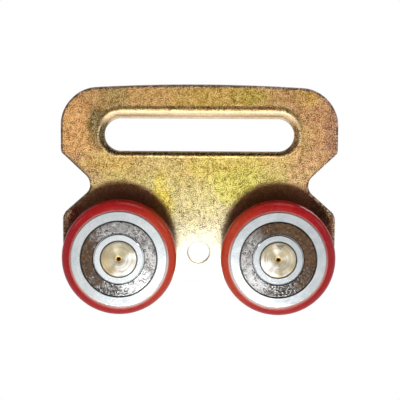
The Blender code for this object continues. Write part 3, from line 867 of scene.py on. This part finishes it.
def shield_profile(front):
    """A flat disc with its rim turned down into the groove."""
    facing = -1 if front else 1
    top = half_width - shield_recess
    under = top - shield_sheet
    profile = [
        (shield_bore, top - shield_chamfer),
        (shield_bore + shield_chamfer, top),
        (shield_bore + shield_chamfer + 0.00006, top),
        (shield_outside - 0.00028, top),
        (shield_outside - 0.00022, top),
        (shield_outside, top - shield_chamfer),
        (shield_outside, under),
        (mouth_radius + 0.0002, under),
        (mouth_radius + 0.0002, under - shield_lip_back),
        (shield_outside - 0.0003, under - shield_lip_back),
        (shield_outside - 0.0004, under),
        (shield_bore, under),
    ]
    return [(radius, bearing_middle + facing * forward) for radius, forward in profile]


def spotted_sheet(side):
    """Dull sheet steel, mottled grey, brown on one side, with black specks and a few bright scratches, with a
    painted highlight brightening one side and painted shade darkening it towards its outer rim.
    """
    material, tree, shader, marks, place = start_turned("spotted_sheet", side, 2200.0)
    darker, lighter, rust_side, rust_edge, speck_side, shield_highlight_side, bright = shield_looks[side]
    radius = marks["Radius"]
    cloud = noise(tree, place, 420.0, 3.0, 0.6, 0.3)
    mottle = noise(tree, place, 1500.0, 4.0, 0.65)
    grey = mixed(tree, between(tree, cloud, 0.38, 0.62), darker, lighter)
    grey = mixed(tree, between(tree, mottle, 0.46, 0.66, 0.0, 0.6), grey, (0.14, 0.12, 0.105))
    # painted highlight: one side of the shield is painted brighter where the lamps' reflection falls
    shield_highlight = swayed(tree, towards(tree, marks, shield_highlight_side), cloud, 0.6)
    grey = mixed(tree, between(tree, shield_highlight, 0.70, 1.0, 0.0, 0.85), grey, (bright, bright, bright))
    # painted shade: darker towards the outer rim, where the shield sits in the ring's mouth
    rim_shade = between(tree, radius, 0.0091, shield_outside, 0.0, 0.35)
    grey = mixed(tree, rim_shade, grey, (0.13, 0.12, 0.11))
    rusted = swayed(tree, towards(tree, marks, rust_side), cloud, 1.5)
    rusted = between(tree, rusted, rust_edge - 0.05, rust_edge + 0.25)
    brown = mixed(tree, between(tree, mottle, 0.40, 0.58), (0.060, 0.031, 0.014), (0.120, 0.062, 0.028))
    orange = noise(tree, place, 3000.0, 1.0)
    brown = mixed(tree, between(tree, orange, 0.66, 0.72), brown, (0.36, 0.18, 0.09))
    colour = mixed(tree, times(tree, rusted, 0.95), grey, brown)
    specks = noise(tree, place, 3600.0, 2.0, 0.6)
    crowd = times(tree, between(tree, towards(tree, marks, speck_side), 0.45, 0.90), 0.165)
    clusters = between(tree, noise(tree, place, 760.0, 1.0), 0.50, 0.58, 0.0, 0.11)
    crowd = maths(tree, "ADD", crowd, clusters)
    flecks = between(tree, maths(tree, "ADD", specks, crowd), 0.625, 0.655)
    flecks = times(tree, flecks, between(tree, rusted, 0.0, 1.0, 0.9, 0.45))
    colour = mixed(tree, flecks, colour, black_speck)
    bare = between(tree, raised(tree, specks, crowd, -0.65), 0.30, 0.26, 0.0, 0.8)
    bare = times(tree, bare, between(tree, rusted, 0.0, 1.0, 1.0, 0.3))
    colour = mixed(tree, bare, colour, bare_scratch)
    groove = between(tree, radius, shield_outside - 0.00014, shield_outside - 0.00003, 0.0, 0.8)
    bore_edge = between(tree, radius, shield_bore + 0.00010, shield_bore)
    colour = mixed(tree, maths(tree, "MAXIMUM", groove, bore_edge), colour, (0.05, 0.045, 0.04))
    dull = maths(tree, "MAXIMUM", times(tree, rusted, 0.8), flecks)
    rough = raised(tree, 0.07, cloud, 0.04)
    rough = raised(tree, rough, dull, 0.03)
    rim = between(tree, radius, shield_outside - 0.00032, shield_outside - 0.00022)
    height = raised(tree, times(tree, mottle, 0.5), marks["Lines"], 0.3)
    look = {
        "Base Color": colour,
        "Roughness": raised(tree, rough, rim, 0.35),
        "Metallic": raised(tree, 1.0, dull, -0.12),
        "Normal": relief(tree, height, 0.04, 0.00003),
    }
    fill(tree, shader, look)
    return material


for side, centre in wheel_centre.items():
    sheet = spotted_sheet(side)
    for end in ("front", "rear"):
        shield = turn(shield_profile(end == "front"), centre, 128)
        name = f"bearing_shield_{end}_{side}"
        finish_mesh(name, shield, sheet, f"wheel_{side}", [f"shield_{end}_{side}"])

# --- Tyres ---
# Red polyurethane, moulded round each outer ring with full round shoulders. The mould leaves a fine step
# where the tyre meets the steel, and a faint parting line round the tread.

tyre_low, tyre_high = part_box("tyre_left")
tyre_radius = tyre_high.x - wheel_centre["left"].x
tyre_half_width = (tyre_high.y - tyre_low.y) / 2
tyre_bore = outer_ring_radius + 0.00003
shoulder_radius = 0.0020
mould_step = 0.00045
parting_line = 0.00003
lit_orange_red = (0.58, 0.060, 0.018)
shaded_deep_red = (0.31, 0.006, 0.014)
bond_pink = (0.80, 0.33, 0.22)
bond_highlight = (0.95, 0.76, 0.72)


def tyre_half():
    shoulder = (tyre_radius - shoulder_radius, tyre_half_width - shoulder_radius)
    mould_edge = [
        (tyre_bore, tyre_half_width - 0.00016),
        (tyre_bore + mould_step - 0.00015, tyre_half_width - 0.00014),
        (tyre_bore + mould_step, tyre_half_width - 0.00002),
    ]
    tread = [(tyre_radius, 0.00015), (tyre_radius - parting_line, 0)]
    return mould_edge + swept(shoulder, shoulder_radius, 90, 0, 14) + tread


def red_polyurethane(side):
    """Glossy moulded polyurethane, painted orange on the lit side towards the other wheel and deeper red on
    the shaded side away from it, with a pale band by the ring that a painted highlight brightens low down,
    and with faint flow marks and fine dust."""
    material, tree, shader, marks, place = start_turned("red_polyurethane", side, 900.0)
    inward_x = -math.copysign(1.0, wheel_centre[side].x)
    flow = noise(tree, place, 160.0, 3.0, 0.5, 1.2)
    colour = mixed(tree, between(tree, flow, 0.35, 0.65), (0.42, 0.009, 0.011), (0.48, 0.013, 0.013))
    inward = times(tree, marks["East"], inward_x)
    # painted light and shade: orange on the side towards the other wheel, which faces the lamps, deeper red
    # away from it
    colour = mixed(tree, between(tree, inward, 0.1, 1.0, 0.0, 0.8), colour, lit_orange_red)
    colour = mixed(tree, between(tree, inward, -0.3, -1.0, 0.0, 0.6), colour, shaded_deep_red)
    dust = noise(tree, place, 3600.0, 2.0, 0.6)
    colour = mixed(tree, between(tree, dust, 0.68, 0.76, 0.0, 0.22), colour, (0.60, 0.25, 0.20))
    # painted highlight: the pale band by the ring brightens low down and on the side that faces the lamps
    bond = between(tree, marks["Radius"], outer_ring_radius + 0.0006, outer_ring_radius + 0.0003)
    low_bond = times(tree, bond, between(tree, marks["North"], 0.5, -0.6, 0.15, 0.8))
    colour = mixed(tree, low_bond, colour, bond_pink)
    lit = towards(tree, marks, (0.77 * inward_x, -0.64))
    lit_bond = times(tree, bond, between(tree, lit, 0.3, 0.95, 0.0, 0.90))
    colour = mixed(tree, lit_bond, colour, bond_highlight)
    rough = raised(tree, 0.16, marks["Lines"], 0.10)
    height = raised(tree, times(tree, dust, 0.25), marks["Lines"], 0.6)
    look = {
        "Base Color": colour,
        "Roughness": raised(tree, rough, flow, 0.12),
        "Specular IOR Level": 0.3,
        "Normal": relief(tree, height, 0.2, 0.00006),
    }
    fill(tree, shader, look)
    return material


for side, centre in wheel_centre.items():
    tyre = turn(both_sides(tyre_half()), centre, 144)
    rubber = red_polyurethane(side)
    finish_mesh(f"tyre_moulding_{side}", tyre, rubber, f"wheel_{side}", [f"tyre_{side}"])

# --- Balls and cages ---
# Seven polished balls to a bearing, held apart by a ribbon cage of two pressed halves and seven small rivets.
# The shields hide them. The balls are made finer here, and the cages keep their modelled shape.

ball_radius = 0.00238
balls = range(1, 8)


def model_balls(side):
    bm = bmesh.new()
    for number in balls:
        low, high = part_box(f"ball_{side}_{number}")
        middle = Matrix.Translation((low + high) / 2)
        bmesh.ops.create_icosphere(bm, subdivisions=4, radius=ball_radius, matrix=middle)
    return bm


def oiled_steel(name, colour, marked, sheen):
    """Bright steel under a film of bearing grease, thicker in some places than in others."""
    material, tree, shader = start_material(name)
    place = add(tree, "TexCoord", {}).outputs["Object"]
    film = noise(tree, place, 700.0, 3.0, 0.6, 0.7)
    scratches = noise(tree, place, 5200.0, 2.0, 0.7)
    base = mixed(tree, between(tree, film, 0.40, 0.66, 0.0, 0.6), colour, (0.42, 0.34, 0.20))
    base = mixed(tree, between(tree, scratches, 0.60, 0.70, 0.0, marked), base, (0.18, 0.17, 0.16))
    look = {
        "Base Color": base,
        "Roughness": raised(tree, sheen, film, 0.22),
        "Metallic": 1.0,
        "Normal": relief(tree, scratches, 0.12, 0.00002),
    }
    fill(tree, shader, look)
    return material


polished_steel = oiled_steel("polished_ball_steel", (0.80, 0.80, 0.80), 0.15, 0.04)
pressed_steel = oiled_steel("pressed_cage_steel", (0.52, 0.52, 0.52), 0.50, 0.24)
for side in wheel_centre:
    nodes = [f"ball_{side}_{number}" for number in balls]
    seven = model_balls(side)
    finish_mesh(f"bearing_balls_{side}", seven, polished_steel, f"cage_{side}", nodes)
    cage = [f"cage_front_{side}", f"cage_rear_{side}"]
    for name in cage + [f"cage_rivet_{side}_{number}" for number in balls]:
        frame["nodes"][name].material_slots[0].material = pressed_steel

# --- Studio ---
# A pale floor well below the hanging trolley, in a white room that is dim overhead and dark round the lens.
# The lamps are a soft key low in front, two weak ones for the rings and shields to mirror, a fill that lights
# only what is matt, and others for the sides, the top and the back.

target = Vector((0.00026, 0, -0.0224))


def stand_lamp(name, place, across, power, high=None, mirrored=True):
    """A soft oval lamp that faces the trolley. One that isn't mirrored lights only what is matt."""
    lamp = bpy.data.lights.new(name, "AREA")
    lamp.shape = "ELLIPSE"
    lamp.size = across
    lamp.size_y = high or across
    lamp.energy = power
    stand = bpy.data.objects.new(name, lamp)
    stand.location = place
    stand.rotation_euler = (target - Vector(place)).to_track_quat("-Z", "Y").to_euler()
    stand.visible_glossy = mirrored
    bpy.context.scene.collection.objects.link(stand)


stand_lamp("key", (0.0, -0.85, -0.34), 0.15, 2.0)
stand_lamp("card", (0.0, -0.85, -0.18), 0.28, 0.125, high=0.17)
stand_lamp("face", (0.0, -0.85, -0.225), 0.10, 0.027)
stand_lamp("fill", (0.0, -0.80, 0.20), 0.50, 1.8, mirrored=False)
stand_lamp("left", (-0.80, -0.25, 0.45), 0.25, 0.8)
stand_lamp("right", (0.80, -0.25, 0.45), 0.25, 0.8)
stand_lamp("top", (0.15, 0.1, 0.8), 0.45, 1.0)
stand_lamp("back", (0.1, 0.9, 0.25), 0.6, 2.5)


def white_room():
    """Pale all round at the trolley's height and below, dim overhead, dark round the lens, and plain white
    to the camera."""
    world = bpy.data.worlds.new("white_room")
    world.use_nodes = True
    tree = world.node_tree
    tree.nodes.clear()
    direction = add(tree, "TexCoord", {}).outputs["Generated"]
    way = add(tree, "SeparateXYZ", {0: direction}).outputs
    round_lens = between(tree, way["Y"], -0.975, -0.80, 0.03, 0.85)
    overhead = between(tree, way["Z"], -0.05, 0.5, 1.0, 0.14)
    seen = add(tree, "LightPath", {}).outputs["Is Camera Ray"]
    strength = maths(tree, "MAXIMUM", times(tree, round_lens, overhead), seen)
    glow = add(tree, "Background", {"Color": (1, 1, 1, 1), "Strength": strength})
    add(tree, "OutputWorld", {"Surface": glow.outputs[0]})
    return world


def pale_board():
    """Matt pale board, lifted to white where the camera sees it, straight on or in a reflection."""
    material, tree, shader = start_material("pale_floor")
    path = add(tree, "LightPath", {}).outputs
    seen = maths(tree, "MAXIMUM", path["Is Camera Ray"], path["Is Glossy Ray"])
    seen = maths(tree, "MAXIMUM", seen, path["Is Transmission Ray"])
    look = {
        "Base Color": (0.80, 0.80, 0.80, 1),
        "Roughness": 0.9,
        "Emission Color": (1, 1, 1, 1),
        "Emission Strength": times(tree, seen, 0.9),
    }
    fill(tree, shader, look)
    return material


def lay_floor():
    bm = bmesh.new()
    flat = Matrix.Translation((0, 0, -0.60))
    bmesh.ops.create_circle(bm, cap_ends=True, segments=96, radius=1.4, matrix=flat)
    mesh = bpy.data.meshes.new("studio_floor")
    bm.to_mesh(mesh)
    bm.free()
    mesh.materials.append(pale_board())
    floor = bpy.data.objects.new("studio_floor", mesh)
    bpy.context.scene.collection.objects.link(floor)


lay_floor()
scene = bpy.context.scene
scene.world = white_room()
scene.view_settings.view_transform = "Standard"

camera_data = bpy.data.cameras.new("camera")
camera_data.lens = 154.0
camera_data.sensor_width = 36.0
camera_data.clip_start = 0.01
camera_data.clip_end = 20.0
camera = bpy.data.objects.new("camera", camera_data)
azimuth, elevation, roll = [math.radians(angle) for angle in (0.28, 8.03, 0.31)]
distance = 0.472
sideways = math.sin(azimuth) * math.cos(elevation)
outwards = -math.cos(azimuth) * math.cos(elevation)
camera.location = target + distance * Vector((sideways, outwards, math.sin(elevation)))
aim = (target - camera.location).to_track_quat("-Z", "Y").to_matrix() @ Matrix.Rotation(roll, 3, "Z")
camera.rotation_euler = aim.to_euler()
scene.collection.objects.link(camera)
scene.camera = camera
